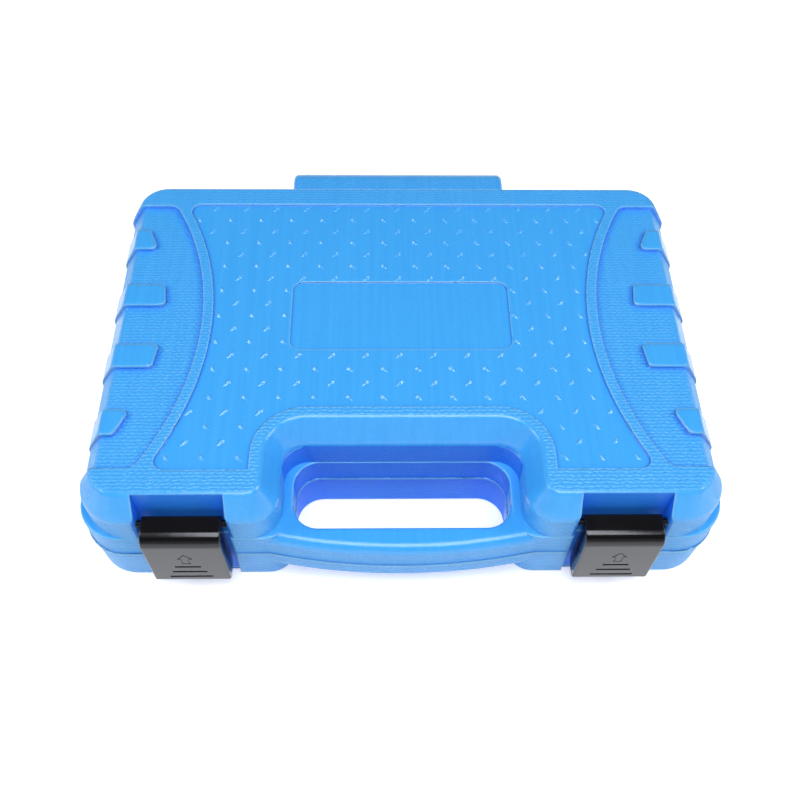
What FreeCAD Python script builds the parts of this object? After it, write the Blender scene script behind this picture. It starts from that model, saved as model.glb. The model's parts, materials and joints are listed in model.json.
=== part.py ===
import FreeCAD, Part
import math
import os

os.makedirs("parts", exist_ok=True)

# A blow-moulded carrying case for a socket wrench set: a deep base with a moulded handle, a shallower
# lid with a treaded panel, two swing latches, a pinned hinge at the back, and the tools in a tray.
# The origin is the centre of the flat underside. +X is to the right, +Y to the hinge, +Z up.

SIZES = [
    # Case body
    ("case_width", 300.0),
    ("case_depth", 204.0),
    ("base_height", 41.0),
    ("lid_height", 29.0),
    ("corner_round", 21.0),
    ("shell_wall", 2.4),
    ("inner_corner", 4.0),
    ("rim_flange", 7.0),
    ("flange_thickness", 3.0),
    ("seam_height", 25.6),
    ("seam_step", 0.6),
    ("seam_bead", 1.2),
    ("base_draft", 1.0),
    ("base_bevel", 1.5),
    # Handle and finger gap
    ("finger_gap_width", 101.0),
    ("finger_gap_depth", 33.3),
    ("finger_gap_round", 11.5),
    ("handle_inset", 6.5),
    ("lobe_round", 14.0),
    ("handle_bow", 6.5),
    ("handle_underside", 12.0),
    ("handle_edge_round", 5.0),
    ("handle_inner_round", 2.0),
    # Lid
    ("lid_side_step", 4.2),
    ("lid_front_step", 0.8),
    ("lid_recess_margin", 5.0),
    ("lid_band_height", 16.0),
    ("lid_top_inset", 7.5),
    ("lid_edge_round", 3.0),
    ("lid_bend_round", 8.0),
    ("side_recess", 1.7),
    ("side_recess_drop", 2.0),
    ("side_recess_length", 161.0),
    ("side_recess_width", 52.5),
    ("side_arc_radius", 160.0),
    ("side_recess_round", 6.0),
    ("panel_band", 5.0),
    ("panel_length", 163.0),
    ("panel_drop", 0.9),
    ("panel_round", 5.0),
    ("panel_recess_gap", 13.0),
    ("label_width", 108.0),
    ("label_length", 42.4),
    ("label_y", 6.3),
    ("label_drop", 0.6),
    ("label_round", 5.0),
    ("rib_step", 0.9),
    ("rib_round", 2.5),
    ("rib_pitch", 37.6),
    ("rib_length", 13.6),
    ("rib_arc_gap", 18.5),
    # Hinge
    ("hinge_width", 120.0),
    ("hinge_reach", 15.5),
    ("hood_radius", 12.5),
    ("hood_wall", 2.5),
    ("hood_skirt", 2.0),
    ("hood_end_round", 2.5),
    ("knuckle_radius", 8.5),
    ("knuckle_width", 28.0),
    ("cheek_width", 6.0),
    ("knuckle_arm", 7.1),
    ("knuckle_gap", 0.4),
    ("hinge_pin_radius", 2.0),
    ("hinge_pin_end", 1.0),
    ("pin_clearance", 0.05),
    # Latches
    ("latch_side_inset", 51.3),
    ("latch_width", 35.6),
    ("latch_side_gap", 2.3),
    ("notch_round", 2.0),
    ("latch_wall", 2.7),
    ("latch_flange", 1.8),
    ("latch_flange_gap", 1.0),
    ("latch_edge", 0.9),
    ("latch_reach", 7.6),
    ("latch_bottom", 12.2),
    ("latch_hook", 3.2),
    ("latch_pivot_y", 3.6),
    ("latch_pivot_z", 10.2),
    ("latch_barrel", 3.3),
    ("latch_pin_radius", 1.5),
    ("latch_pin_seat", 3.5),
    ("lid_notch", 7.7),
    ("latch_heel", 1.2),
    ("latch_lip", 1.1),
    ("base_notch", 4.0),
    ("catch_rise", 8.0),
    ("catch_lean", 0.8),
    ("catch_gap", 0.35),
    ("catch_side_gap", 0.6),
    ("latch_cheek", 5.0),
    ("latch_fall", 1.6),
    ("latch_bend", 6.5),
    ("latch_round", 3.0),
    ("latch_tail_round", 5.0),
    ("latch_tip_round", 0.6),
    ("latch_inset", 0.4),
    ("groove_low", 5.25),
    ("groove_pitch", 5.4),
    ("groove_height", 1.5),
    ("groove_depth", 0.8),
    ("groove_length", 20.0),
    ("groove_taper", 4.0),
    # Tray
    ("tray_top", 26.0),
    ("tray_wall", 1.8),
    ("tray_gap", 0.4),
    ("pocket_gap", 0.5),
    ("seat_gap", 0.2),
    ("foam_thickness", 12.0),
    ("foam_gap", 0.2),
    ("foam_margin", 5.0),
    ("pocket_round", 1.5),
    # Sockets
    ("socket_height", 28.0),
    ("drive_square", 9.5),
    ("drive_play", 0.2),
    ("drive_end_radius", 8.5),
    ("drive_depth", 11.0),
    ("hex_depth", 13.0),
    ("socket_wall", 2.6),
    ("shoulder_rise", 1.0),
    # Extension bars and plug sockets
    ("bar_radius", 5.5),
    ("bar_collar", 16.0),
    ("long_bar", 150.0),
    ("short_bar", 75.0),
    ("plug_socket_length", 65.0),
    ("plug_insert_wall", 2.0),
    ("plug_insert_length", 14.0),
    ("bar_neck", 1.6),
    ("small_plug_hex", 16.0),
    ("large_plug_hex", 20.8),
    ("ball_radius", 1.9),
    ("ball_proud", 0.7),
    # Ratchet
    ("head_radius", 17.5),
    ("head_tail_radius", 13.0),
    ("head_height", 14.0),
    ("head_lift", 0.6),
    ("head_clear", 2.0),
    ("pawl_offset", 17.0),
    ("gear_bay", 11.2),
    ("pawl_bay", 10.6),
    ("head_floor", 2.2),
    ("cover_plate", 1.6),
    ("cover_margin", 1.6),
    ("gear_tip", 10.2),
    ("gear_root", 9.0),
    ("gear_hub", 7.8),
    ("gear_neck", 6.0),
    ("gear_teeth", 24),
    ("button_radius", 3.6),
    ("button_depth", 3.0),
    ("button_stem", 1.5),
    ("spring_length", 2.4),
    ("spring_gap", 0.4),
    ("spring_wall", 0.6),
    ("button_proud", 1.9),
    ("button_travel", 1.6),
    ("lever_hub", 4.2),
    ("lever_stem", 2.5),
    ("lever_length", 15.0),
    ("lever_height", 3.4),
    ("lever_tip", 3.4),
    ("lever_flare", 1.2),
    ("lever_lift", 0.3),
    ("lever_swing", 20.0),
    ("pawl_tilt", 6.0),
    ("pawl_hub", 5.2),
    ("pawl_shoulder", 2.0),
    ("pawl_toe_angle", 30.0),
    ("pawl_toe_spread", 3.0),
    ("pawl_toe_relief", 0.8),
    ("pawl_toe_bite", 0.4),
    ("pawl_back_angle", 7.0),
    ("pawl_back_rise", 3.2),
    ("pawl_spring_half", 50.0),
    ("shank_width", 11.0),
    ("shank_height", 9.0),
    ("grip_start", 95.0),
    ("grip_length", 98.0),
    ("grip_radius", 12.0),
    ("grip_collar", 8.0),
    ("grip_collar_step", 2.5),
    ("grip_waist", 1.5),
    ("grip_end_step", 4.0),
    ("screw_radius", 1.6),
    ("screw_depth", 5.0),
    ("screw_x", 8.0),
    ("screw_y", 11.4),
    ("tang_stop", 8.0),
    ("running_gap", 0.2),
    ("play", 0.08),
    # Cutting blocks run past the face that they open
    ("overrun", 1.0),
    # Places in the tray: shares of the depth behind the finger gap, and distances from the case's sides
    ("ratchet_row", 0.184),
    ("bar_row", 0.415),
    ("small_row", 0.61),
    ("large_row", 0.817),
    ("row_inset", 28.0),
    ("plug_inset", 19.0),
    ("long_bar_inset", 20.0),
    ("short_bar_inset", 15.0),
    ("ratchet_inset", 46.0),
]

document = FreeCAD.newDocument("socket_wrench_case")
sheet = document.addObject("Spreadsheet::Sheet", "Sizes")
for row, (alias, number) in enumerate(SIZES, start=1):
    sheet.set("A%d" % row, alias)
    sheet.set("B%d" % row, str(number))
    sheet.setAlias("B%d" % row, alias)
document.recompute()

ALONG_X = FreeCAD.Rotation(FreeCAD.Vector(1, 1, 1), 120)
Vector = FreeCAD.Vector
NODES = []


# Outlines

def polar(radius, degrees):
    angle = math.radians(degrees)
    return Vector(radius * math.cos(angle), radius * math.sin(angle), 0)


def rounded_outline(corners):
    """Lines and tangent arcs through (x, y, radius) corners, closed."""
    points = [Vector(x, y, 0) for x, y, _ in corners]
    entries, exits, middles = [], [], []
    for i, (x, y, radius) in enumerate(corners):
        to_last = (points[i - 1] - points[i]).normalize()
        to_next = (points[(i + 1) % len(points)] - points[i]).normalize()
        half_turn = to_last.getAngle(to_next) / 2
        setback = radius / math.tan(half_turn)
        bisector = (to_last + to_next).normalize()
        entries.append(points[i] + to_last * setback)
        exits.append(points[i] + to_next * setback)
        middles.append(points[i] + bisector * (radius / math.sin(half_turn) - radius))
    outline = []
    for i, (_, _, radius) in enumerate(corners):
        if radius > 0:
            outline.append(Part.Arc(entries[i], middles[i], exits[i]))
        following = entries[(i + 1) % len(corners)]
        if (following - exits[i]).Length > 1e-6:
            outline.append(Part.LineSegment(exits[i], following))
    return outline


def rectangle(width, length, x, y, radius):
    half_w, half_l = width / 2, length / 2
    return rounded_outline([
        (x + half_w, y + half_l, radius),
        (x - half_w, y + half_l, radius),
        (x - half_w, y - half_l, radius),
        (x + half_w, y - half_l, radius),
    ])


def polygon(points):
    return rounded_outline([(x, y, 0) for x, y in points])


def circle(radius, x=0.0, y=0.0):
    return [Part.Circle(Vector(x, y, 0), Vector(0, 0, 1), radius)]


def regular(sides, across_flats, turn=0.0, at=Vector()):
    radius = across_flats / 2 / math.cos(math.pi / sides)
    corners = [polar(radius, turn + 360.0 * i / sides) + at for i in range(sides)]
    return polygon([(p.x, p.y) for p in corners])


def pear(near_radius, far_radius, offset):
    """Two circles on the X axis joined by their outer tangents."""
    lean = math.degrees(math.asin((near_radius - far_radius) / offset))
    near_top, near_bottom = polar(near_radius, 90 - lean), polar(near_radius, lean - 90)
    shift = Vector(offset, 0, 0)
    far_top = polar(far_radius, 90 - lean) + shift
    far_bottom = polar(far_radius, lean - 90) + shift
    return [
        Part.Arc(near_top, Vector(-near_radius, 0, 0), near_bottom),
        Part.LineSegment(near_bottom, far_bottom),
        Part.Arc(far_bottom, Vector(offset + far_radius, 0, 0), far_top),
        Part.LineSegment(far_top, near_top),
    ]


# Document objects

def sketch(name, outline, low="0", along_x=False, at=(0.0, 0.0)):
    item = document.addObject("Sketcher::SketchObject", name)
    item.addGeometry(outline, False)
    item.Placement.Base = Vector(at[0], at[1], 0)
    if along_x:
        item.Placement.Rotation = ALONG_X
        item.setExpression("Placement.Base.x", low)
    else:
        item.setExpression("Placement.Base.z", low)
    return item


def extrude(name, outline, low, length, along_x=False, at=(0.0, 0.0)):
    item = document.addObject("Part::Extrusion", name)
    item.Base = sketch(name + "_outline", outline, low, along_x, at)
    item.DirMode = "Normal"
    item.Solid = True
    item.setExpression("LengthFwd", length)
    return item


def loft(name, sections):
    """A ruled solid through (outline, height) sections."""
    item = document.addObject("Part::Loft", name)
    item.Sections = [
        sketch("%s_outline_%d" % (name, i), outline, low) for i, (outline, low) in enumerate(sections)
    ]
    item.Solid = True
    item.Ruled = True
    return item


def fuse(name, shapes):
    item = document.addObject("Part::MultiFuse", name)
    item.Shapes = shapes
    item.Refine = True
    return item


def cut(name, base, tools):
    item = document.addObject("Part::Cut", name)
    item.Base = base
    item.Tool = tools[0] if len(tools) == 1 else fuse(name + "_tools", tools)
    item.Refine = True
    return item


def common(name, base, tool):
    item = document.addObject("Part::Common", name)
    item.Base = base
    item.Tool = tool
    item.Refine = True
    return item


def fillet(name, base, radius, chosen):
    """Rounds the edges of base that chosen(edge) picks."""
    document.recompute()
    item = document.addObject("Part::Fillet", name)
    item.Base = base
    picked = [i for i, edge in enumerate(base.Shape.Edges, start=1) if chosen(edge)]
    item.Edges = [(i, radius, radius) for i in picked]
    return item


def cylinder(name, radius, length, x, y, low, along_x=False):
    item = document.addObject("Part::Cylinder", name)
    item.setExpression("Radius", radius)
    item.setExpression("Height", length)
    turn = FreeCAD.Rotation(Vector(0, 1, 0), 90) if along_x else FreeCAD.Rotation()
    item.Placement = FreeCAD.Placement(Vector(x, y, low), turn)
    return item


def node(item, label):
    item.Label = label
    NODES.append(item)
    return item


def level(edge, height):
    box = edge.BoundBox
    return abs(box.ZMin - height) < 1e-4 and abs(box.ZMax - height) < 1e-4


# Places that several pieces share

half_width = sheet.case_width / 2
half_depth = sheet.case_depth / 2
gap_half = sheet.finger_gap_width / 2
gap_front = -half_depth + sheet.handle_inset
gap_back = gap_front + sheet.finger_gap_depth
top = sheet.base_height + sheet.lid_height
parting = sheet.base_height
hinge_y = half_depth + sheet.hinge_reach
latch_x = half_width - sheet.latch_side_inset
pivot_y = -half_depth + sheet.latch_pivot_y
pivot_z = parting + sheet.latch_pivot_z
plate_front = -half_depth - sheet.latch_reach
notch_width = sheet.latch_width + 2 * sheet.latch_side_gap
over = sheet.overrun


def case_outline(side, ends, recess, round_loss, sharper=0.0):
    """The case in plan, set in by side on the left and right and by ends at the front and back.

    The front edge steps back between two lobes, by a recess set out from the finger gap.
    The four outer corners may be made sharper than the rest."""
    half_w = half_width - side
    back = half_depth - ends
    recess_half = gap_half + recess
    recess_y = gap_back + ends
    outer = sheet.corner_round - round_loss - sharper
    lobe = sheet.lobe_round - round_loss
    inner = sheet.finger_gap_round + round_loss
    return rounded_outline([
        (half_w, back, outer),
        (-half_w, back, outer),
        (-half_w, -back, outer),
        (-recess_half, -back, lobe),
        (-recess_half, recess_y, inner),
        (recess_half, recess_y, inner),
        (recess_half, -back, lobe),
        (half_w, -back, outer),
    ])


def even_outline(inset):
    return case_outline(inset, inset, inset, inset)


# Base shell: rim band and drafted lower wall that meet at the mould's seam, handle, knuckles and latch seats

rim = extrude("base_rim", even_outline(sheet.seam_step), "Sizes.seam_height",
              "Sizes.base_height - Sizes.seam_height")
seam = extrude("base_seam", even_outline(0), "Sizes.seam_height - Sizes.seam_bead / 2", "Sizes.seam_bead")
foot_inset = sheet.seam_step + sheet.base_draft
lower_wall = loft("base_lower_wall", [
    (even_outline(foot_inset + sheet.base_bevel), "0"),
    (even_outline(foot_inset), "Sizes.base_bevel"),
    (even_outline(sheet.seam_step), "Sizes.seam_height"),
])

handle_end = gap_half + sheet.lobe_round
toe = gap_half - sheet.finger_gap_round
toe_y = gap_front + sheet.finger_gap_round


def handle_plan(front_inset):
    """The handle in plan: a bowed front edge, and an inner edge that rounds into the finger gap."""
    front = -half_depth - sheet.handle_bow + front_inset
    shoulder = -half_depth + sheet.seam_step + front_inset
    left_end, right_end = Vector(-handle_end, shoulder, 0), Vector(handle_end, shoulder, 0)
    left_root, right_root = Vector(-handle_end, toe_y, 0), Vector(handle_end, toe_y, 0)
    left_side, right_side = Vector(-gap_half, toe_y, 0), Vector(gap_half, toe_y, 0)
    left_toe, right_toe = Vector(-toe, gap_front, 0), Vector(toe, gap_front, 0)
    return [
        Part.Arc(left_end, Vector(0, front, 0), right_end),
        Part.LineSegment(right_end, right_root),
        Part.LineSegment(right_root, right_side),
        Part.Arc(right_side, Vector(toe, toe_y, 0) + polar(sheet.finger_gap_round, -45), right_toe),
        Part.LineSegment(right_toe, left_toe),
        Part.Arc(left_toe, Vector(-toe, toe_y, 0) + polar(sheet.finger_gap_round, -135), left_side),
        Part.LineSegment(left_side, left_root),
        Part.LineSegment(left_root, left_end),
    ]


def grip_edge(edge, front):
    """The long edges of the handle, top and bottom, on its front or on its inner side."""
    if not (level(edge, parting) or level(edge, sheet.handle_underside)):
        return False
    middle = edge.valueAt((edge.FirstParameter + edge.LastParameter) / 2)
    if front:
        return middle.y < -half_depth
    return abs(middle.x) < gap_half and -half_depth < middle.y < toe_y - sheet.play


handle = fuse("base_handle", [
    extrude("base_handle_grip", handle_plan(sheet.seam_step), "Sizes.handle_underside",
            "Sizes.base_height - Sizes.handle_underside"),
    extrude("base_handle_seam", handle_plan(0), "Sizes.seam_height - Sizes.seam_bead / 2", "Sizes.seam_bead"),
])
handle = fillet("base_handle_round", handle, sheet.handle_edge_round, lambda edge: grip_edge(edge, True))
handle = fillet("base_handle_inner", handle, sheet.handle_inner_round, lambda edge: grip_edge(edge, False))

seat_x = notch_width / 2 + sheet.latch_cheek
seat_depth = sheet.base_notch + 2 * sheet.shell_wall
inner_low = foot_inset + sheet.shell_wall
inner_high = sheet.seam_step + sheet.shell_wall
base_inside = loft("base_inside", [
    (even_outline(inner_low), "Sizes.shell_wall"),
    (even_outline(inner_high), "Sizes.base_height - Sizes.flange_thickness"),
])
base_mouth = extrude("base_mouth", even_outline(sheet.rim_flange), "Sizes.seam_height",
                     "Sizes.base_height - Sizes.seam_height + Sizes.overrun")
base_outside = fuse("base_outside", [rim, lower_wall, seam, handle])
base_open = cut("base_open", base_outside, [base_inside, base_mouth])


def notch_plan(middle, front, depth):
    """A latch notch in plan, with sides that round off where they meet the case's front."""
    half, mouth = notch_width / 2, notch_width / 2 + sheet.notch_round + over
    return rounded_outline([
        (middle - half, front + depth, 0),
        (middle - half, front, sheet.notch_round),
        (middle - mouth, front, 0),
        (middle - mouth, front - over, 0),
        (middle + mouth, front - over, 0),
        (middle + mouth, front, 0),
        (middle + half, front, sheet.notch_round),
        (middle + half, front + depth, 0),
    ])


base_seats = []
base_notches = []
catches = []
catch_low = sheet.latch_bottom + sheet.latch_hook + sheet.catch_gap
catch_high = catch_low + sheet.catch_rise
hook_tip = -half_depth - sheet.latch_inset
catch_front = hook_tip + sheet.catch_gap
notch_back = -half_depth + sheet.base_notch
catch_half = sheet.latch_width / 2 - sheet.latch_flange - sheet.catch_side_gap
for side, sign in (("left", -1), ("right", 1)):
    middle = sign * latch_x
    seat = rectangle(2 * seat_x, seat_depth, middle, -half_depth + sheet.seam_step + seat_depth / 2, 0)
    base_seats.append(extrude("base_seat_" + side, seat, "Sizes.shell_wall + Sizes.base_draft",
                              "Sizes.base_height - Sizes.shell_wall - Sizes.base_draft"))
    base_notches.append(extrude("base_notch_" + side, notch_plan(middle, -half_depth, sheet.base_notch),
                                "-Sizes.overrun", "Sizes.base_height + 2 * Sizes.overrun"))
    catch = polygon([
        (notch_back + over, catch_low),
        (catch_front, catch_low),
        (catch_front - sheet.catch_lean, catch_high),
        (notch_back + over, catch_high + sheet.base_notch),
    ])
    catches.append(extrude("base_catch_" + side, catch, "%r" % (middle - catch_half),
                           "%r" % (2 * catch_half), along_x=True))

bay_pitch = (sheet.hinge_width - 2 * sheet.cheek_width - sheet.knuckle_width) / 2 - sheet.knuckle_gap
bay_width = sheet.knuckle_width + 2 * sheet.knuckle_gap
knuckle_arms = []
knuckles = []
for i in (-1, 0, 1):
    arm_low = parting - sheet.knuckle_gap - sheet.knuckle_arm
    arm = polygon([
        (half_depth - sheet.shell_wall / 2, arm_low),
        (hinge_y, arm_low),
        (hinge_y, parting - sheet.knuckle_gap),
        (half_depth - sheet.shell_wall / 2, parting - sheet.knuckle_gap),
    ])
    start = i * bay_pitch - sheet.knuckle_width / 2
    knuckle_arms.append(extrude("base_arm_%d" % (i + 2), arm, "%r" % start, "Sizes.knuckle_width",
                                along_x=True))
    knuckles.append(cylinder("base_knuckle_%d" % (i + 2), "Sizes.knuckle_radius", "Sizes.knuckle_width",
                             start, hinge_y, parting, along_x=True))
base_bore = cylinder("base_bore", "Sizes.hinge_pin_radius + Sizes.pin_clearance", "Sizes.hinge_width",
                     -sheet.hinge_width / 2, hinge_y, parting, along_x=True)
seats_in_base = common("base_seats_inside", fuse("base_seats", base_seats), base_outside)
base_solid = fuse("base_solid", [base_open, seats_in_base] + knuckle_arms + knuckles)
base_notched = cut("base_notched", base_solid, base_notches + [base_bore])
node(fuse("base_shell", [base_notched] + catches), "base_shell")

# Lid shell: upright band, sloped crown, sunken sides with raised ribs, treaded panel and hinge hood


def lid_outline(extra_side, slope, sharper=0.0):
    return case_outline(sheet.lid_side_step + extra_side + slope, sheet.lid_front_step + slope,
                        sheet.lid_recess_margin + slope, slope, sharper)


def lid_crown(name, extra_side, drop):
    """The lid's outside as one closed block: an upright band under a sloped crown, with soft edges."""
    bend = parting + sheet.lid_band_height
    crown_top = top - drop
    band = extrude(name + "_band", lid_outline(extra_side, 0), "Sizes.base_height", "Sizes.lid_band_height")
    crown = loft(name + "_crown", [
        (lid_outline(extra_side, 0), "Sizes.base_height + Sizes.lid_band_height"),
        (lid_outline(extra_side, sheet.lid_top_inset), "%r" % crown_top),
    ])
    block = fillet(name + "_bend", fuse(name + "_block", [band, crown]), sheet.lid_bend_round,
                   lambda edge: level(edge, bend))
    return fillet(name, block, sheet.lid_edge_round, lambda edge: level(edge, crown_top))


side_waist = half_width - sheet.side_recess_width


def side_arc(gap, half_length, sign):
    """A concave side line of the panel, gap nearer the middle than the sunken side's edge."""
    radius = sheet.side_arc_radius + gap
    centre_x = side_waist + sheet.side_arc_radius
    end_x = centre_x - math.sqrt(radius ** 2 - half_length ** 2)
    return [Vector(sign * end_x, -sign * half_length, 0), Vector(sign * (centre_x - radius), 0, 0),
            Vector(sign * end_x, sign * half_length, 0)]


def upright_edge(edge):
    ends = [vertex.Point for vertex in edge.Vertexes]
    return len(ends) == 2 and math.hypot(ends[0].x - ends[1].x, ends[0].y - ends[1].y) < 1e-6


full_lid = lid_crown("lid_full", 0, 0)
sunken_lid = lid_crown("lid_sunken", sheet.side_recess, sheet.side_recess_drop)
ribbed_lid = lid_crown("lid_ribbed", sheet.rib_step, 0)

reach = sheet.case_width
recess_half_length = sheet.side_recess_length / 2
side_masks = []
ribs = []
for side, sign in (("left", -1), ("right", 1)):
    start, middle, end = side_arc(0, recess_half_length, sign)
    far_start, far_end = Vector(sign * reach, start.y, 0), Vector(sign * reach, end.y, 0)
    mask = extrude("lid_side_" + side, [
        Part.Arc(start, middle, end),
        Part.LineSegment(end, far_end),
        Part.LineSegment(far_end, far_start),
        Part.LineSegment(far_start, start),
    ], "Sizes.base_height - Sizes.overrun", "Sizes.lid_height + 2 * Sizes.overrun")
    side_masks.append(fillet("lid_side_round_" + side, mask, sheet.side_recess_round, upright_edge))
    for i in range(4):
        low_y = (i - 1.5) * sheet.rib_pitch - sheet.rib_length / 2
        high_y = low_y + sheet.rib_length
        arc_radius = sheet.side_arc_radius - sheet.rib_arc_gap
        centre_x = side_waist + sheet.side_arc_radius
        low_x = centre_x - math.sqrt(arc_radius ** 2 - low_y ** 2)
        high_x = centre_x - math.sqrt(arc_radius ** 2 - high_y ** 2)
        ribs.append(extrude("lid_rib_%s_%d" % (side, i + 1), rounded_outline([
            (sign * low_x, low_y, sheet.rib_round), (sign * reach, low_y, 0),
            (sign * reach, high_y, 0), (sign * high_x, high_y, sheet.rib_round),
        ]), "Sizes.base_height - Sizes.overrun", "Sizes.lid_height + 2 * Sizes.overrun"))
proud_lid = cut("lid_proud", full_lid, side_masks)
rib_blocks = common("lid_ribs", ribbed_lid, fuse("lid_rib_masks", ribs))
lid_outside = fuse("lid_outside", [proud_lid, sunken_lid, rib_blocks])

panel_half = sheet.panel_length / 2
panel_right = side_arc(sheet.panel_band, panel_half, 1)
panel_left = side_arc(sheet.panel_band, panel_half, -1)
panel_block = extrude("lid_panel_block", [
    Part.Arc(*panel_right),
    Part.LineSegment(panel_right[2], panel_left[0]),
    Part.Arc(*panel_left),
    Part.LineSegment(panel_left[2], panel_right[0]),
], "Sizes.base_height + Sizes.lid_height - Sizes.panel_drop", "2 * Sizes.panel_drop")


panel_block = fillet("lid_panel_round", panel_block, sheet.panel_round, upright_edge)
bay_gap = sheet.panel_recess_gap
panel_bay_half = gap_half + sheet.lid_recess_margin + bay_gap
panel_bay_back = gap_back + sheet.lid_front_step + bay_gap
panel_bay = extrude("lid_panel_bay", rectangle(2 * panel_bay_half, sheet.case_depth, 0,
                                               panel_bay_back - half_depth,
                                               sheet.finger_gap_round + bay_gap),
                    "Sizes.base_height + Sizes.lid_height - 2 * Sizes.panel_drop", "4 * Sizes.panel_drop")
panel = cut("lid_panel", panel_block, [panel_bay])
label = extrude("lid_label", rectangle(sheet.label_width, sheet.label_length, 0, sheet.label_y,
                                       sheet.label_round),
                "Sizes.base_height + Sizes.lid_height - Sizes.panel_drop - Sizes.label_drop",
                "Sizes.panel_drop + Sizes.label_drop")

inner_side = sheet.side_recess + sheet.shell_wall
inner_slope = sheet.lid_top_inset - sheet.shell_wall / 2
ceiling = top - sheet.panel_drop - sheet.label_drop - sheet.shell_wall
lid_inside = loft("lid_inside", [
    (lid_outline(0, inner_side, sheet.inner_corner), "Sizes.base_height"),
    (lid_outline(0, inner_side, sheet.inner_corner), "Sizes.base_height + Sizes.lid_band_height"),
    (lid_outline(0, inner_side + inner_slope, sheet.inner_corner), "%r" % ceiling),
])
lid_open = cut("lid_open", lid_outside, [panel, label, lid_inside])

lid_front = -half_depth + sheet.lid_front_step
lid_seats = []
lid_notches = []
pin_bores = []
pin_length = notch_width + 2 * sheet.latch_pin_seat
for side, sign in (("left", -1), ("right", 1)):
    middle = sign * latch_x
    lid_seats.append(extrude("lid_seat_" + side, rectangle(
        2 * seat_x, sheet.lid_notch + sheet.shell_wall / 2, middle,
        lid_front + sheet.lid_notch / 2 + 3 * sheet.shell_wall / 4, 0),
        "Sizes.base_height", "Sizes.lid_height - Sizes.lid_edge_round"))
    lid_notches.append(extrude(
        "lid_notch_" + side, notch_plan(middle, lid_front, sheet.lid_notch),
        "Sizes.base_height - Sizes.overrun", "Sizes.lid_height + 2 * Sizes.overrun"))
    pin_bores.append(cylinder("lid_pin_bore_" + side, "Sizes.latch_pin_radius + Sizes.pin_clearance",
                              "%r" % pin_length, middle - pin_length / 2, pivot_y, pivot_z, along_x=True))
seats_inside = common("lid_seats_inside", fuse("lid_seats", lid_seats), full_lid)

hood_inner = sheet.hood_radius - sheet.hood_wall
hood_low = parting - sheet.hood_skirt
hood_barrel = cylinder("lid_hood_barrel", "Sizes.hood_radius", "Sizes.hinge_width",
                       -sheet.hinge_width / 2, hinge_y, parting, along_x=True)
web_start = half_depth - sheet.lid_front_step - sheet.shell_wall
hood_web = extrude("lid_hood_web", polygon([
    (web_start, parting + sheet.knuckle_gap),
    (hinge_y, parting + sheet.knuckle_gap),
    (hinge_y, parting + sheet.hood_radius),
    (web_start, parting + sheet.hood_radius),
]), "-Sizes.hinge_width / 2", "Sizes.hinge_width", along_x=True)
bay_wall = half_depth - sheet.lid_front_step + sheet.knuckle_gap
bay_edge_y = hinge_y + math.sqrt(hood_inner ** 2 - (hood_low - parting) ** 2)
bay_rear = hinge_y + sheet.hood_radius + over
bay_floor = parting - sheet.hood_radius - over
bay_profile = [
    Part.LineSegment(Vector(bay_wall, bay_floor, 0), Vector(bay_rear, bay_floor, 0)),
    Part.LineSegment(Vector(bay_rear, bay_floor, 0), Vector(bay_rear, hood_low, 0)),
    Part.LineSegment(Vector(bay_rear, hood_low, 0), Vector(bay_edge_y, hood_low, 0)),
    Part.Arc(Vector(bay_edge_y, hood_low, 0), Vector(hinge_y, parting, 0) + polar(hood_inner, 45),
             Vector(hinge_y, parting + hood_inner, 0)),
    Part.LineSegment(Vector(hinge_y, parting + hood_inner, 0), Vector(bay_wall, parting + hood_inner, 0)),
    Part.LineSegment(Vector(bay_wall, parting + hood_inner, 0), Vector(bay_wall, bay_floor, 0)),
]
bays = [
    extrude("lid_bay_%d" % (i + 2), bay_profile, "%r" % (i * bay_pitch - bay_width / 2), "%r" % bay_width,
            along_x=True)
    for i in (-1, 0, 1)
]
lid_bore = cylinder("lid_bore", "Sizes.hinge_pin_radius + Sizes.pin_clearance", "Sizes.hinge_width",
                    -sheet.hinge_width / 2, hinge_y, parting, along_x=True)


def hood_end(edge):
    """The outer edges of the hood's two ends, above its axis and behind the lid's wall."""
    middle = edge.valueAt((edge.FirstParameter + edge.LastParameter) / 2)
    at_end = abs(abs(middle.x) - sheet.hinge_width / 2) < 1e-4
    return at_end and (middle.z > parting + hood_inner or middle.y > hinge_y + over)


hood_block = fillet("lid_hood_round", fuse("lid_hood_block", [hood_barrel, hood_web]), sheet.hood_end_round,
                    hood_end)
lid_hood = cut("lid_hood", hood_block, bays + [lid_bore])
lid_solid = fuse("lid_solid", [lid_open, seats_inside, lid_hood])
node(cut("lid_shell", lid_solid, lid_notches + pin_bores), "lid_shell")

# Hinge pin: a plain steel rod through the lid's cheeks and the base's knuckles

node(cylinder("hinge_pin", "Sizes.hinge_pin_radius", "Sizes.hinge_width - 2 * Sizes.hinge_pin_end",
              -sheet.hinge_width / 2 + sheet.hinge_pin_end, hinge_y, parting, along_x=True), "hinge_pin")

# Latches: moulded shells that hang from a pin in the lid and hook under a catch on the base

latch_top = pivot_z + sheet.latch_barrel + sheet.latch_lip
latch_back = pivot_y + sheet.latch_heel
latch_half = sheet.latch_width / 2
plate_back = plate_front + sheet.latch_wall
flange_back = notch_back - sheet.latch_flange_gap
front_top = latch_top - sheet.latch_fall
hook_top = sheet.latch_bottom + sheet.latch_hook
heel_low = latch_top - sheet.latch_barrel


def latch_top_at(y):
    """The height of the latch's top, which falls from its heel to its plate."""
    return latch_top - sheet.latch_fall * (latch_back - y) / (latch_back - plate_front)


def outer_side(edge, middle):
    """The edges of a latch's side faces along its top, bend and plate."""
    spot = edge.valueAt((edge.FirstParameter + edge.LastParameter) / 2)
    on_side = abs(abs(spot.x - middle) - latch_half) < 1e-4
    return on_side and (spot.y < plate_back or spot.z > front_top)


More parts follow.
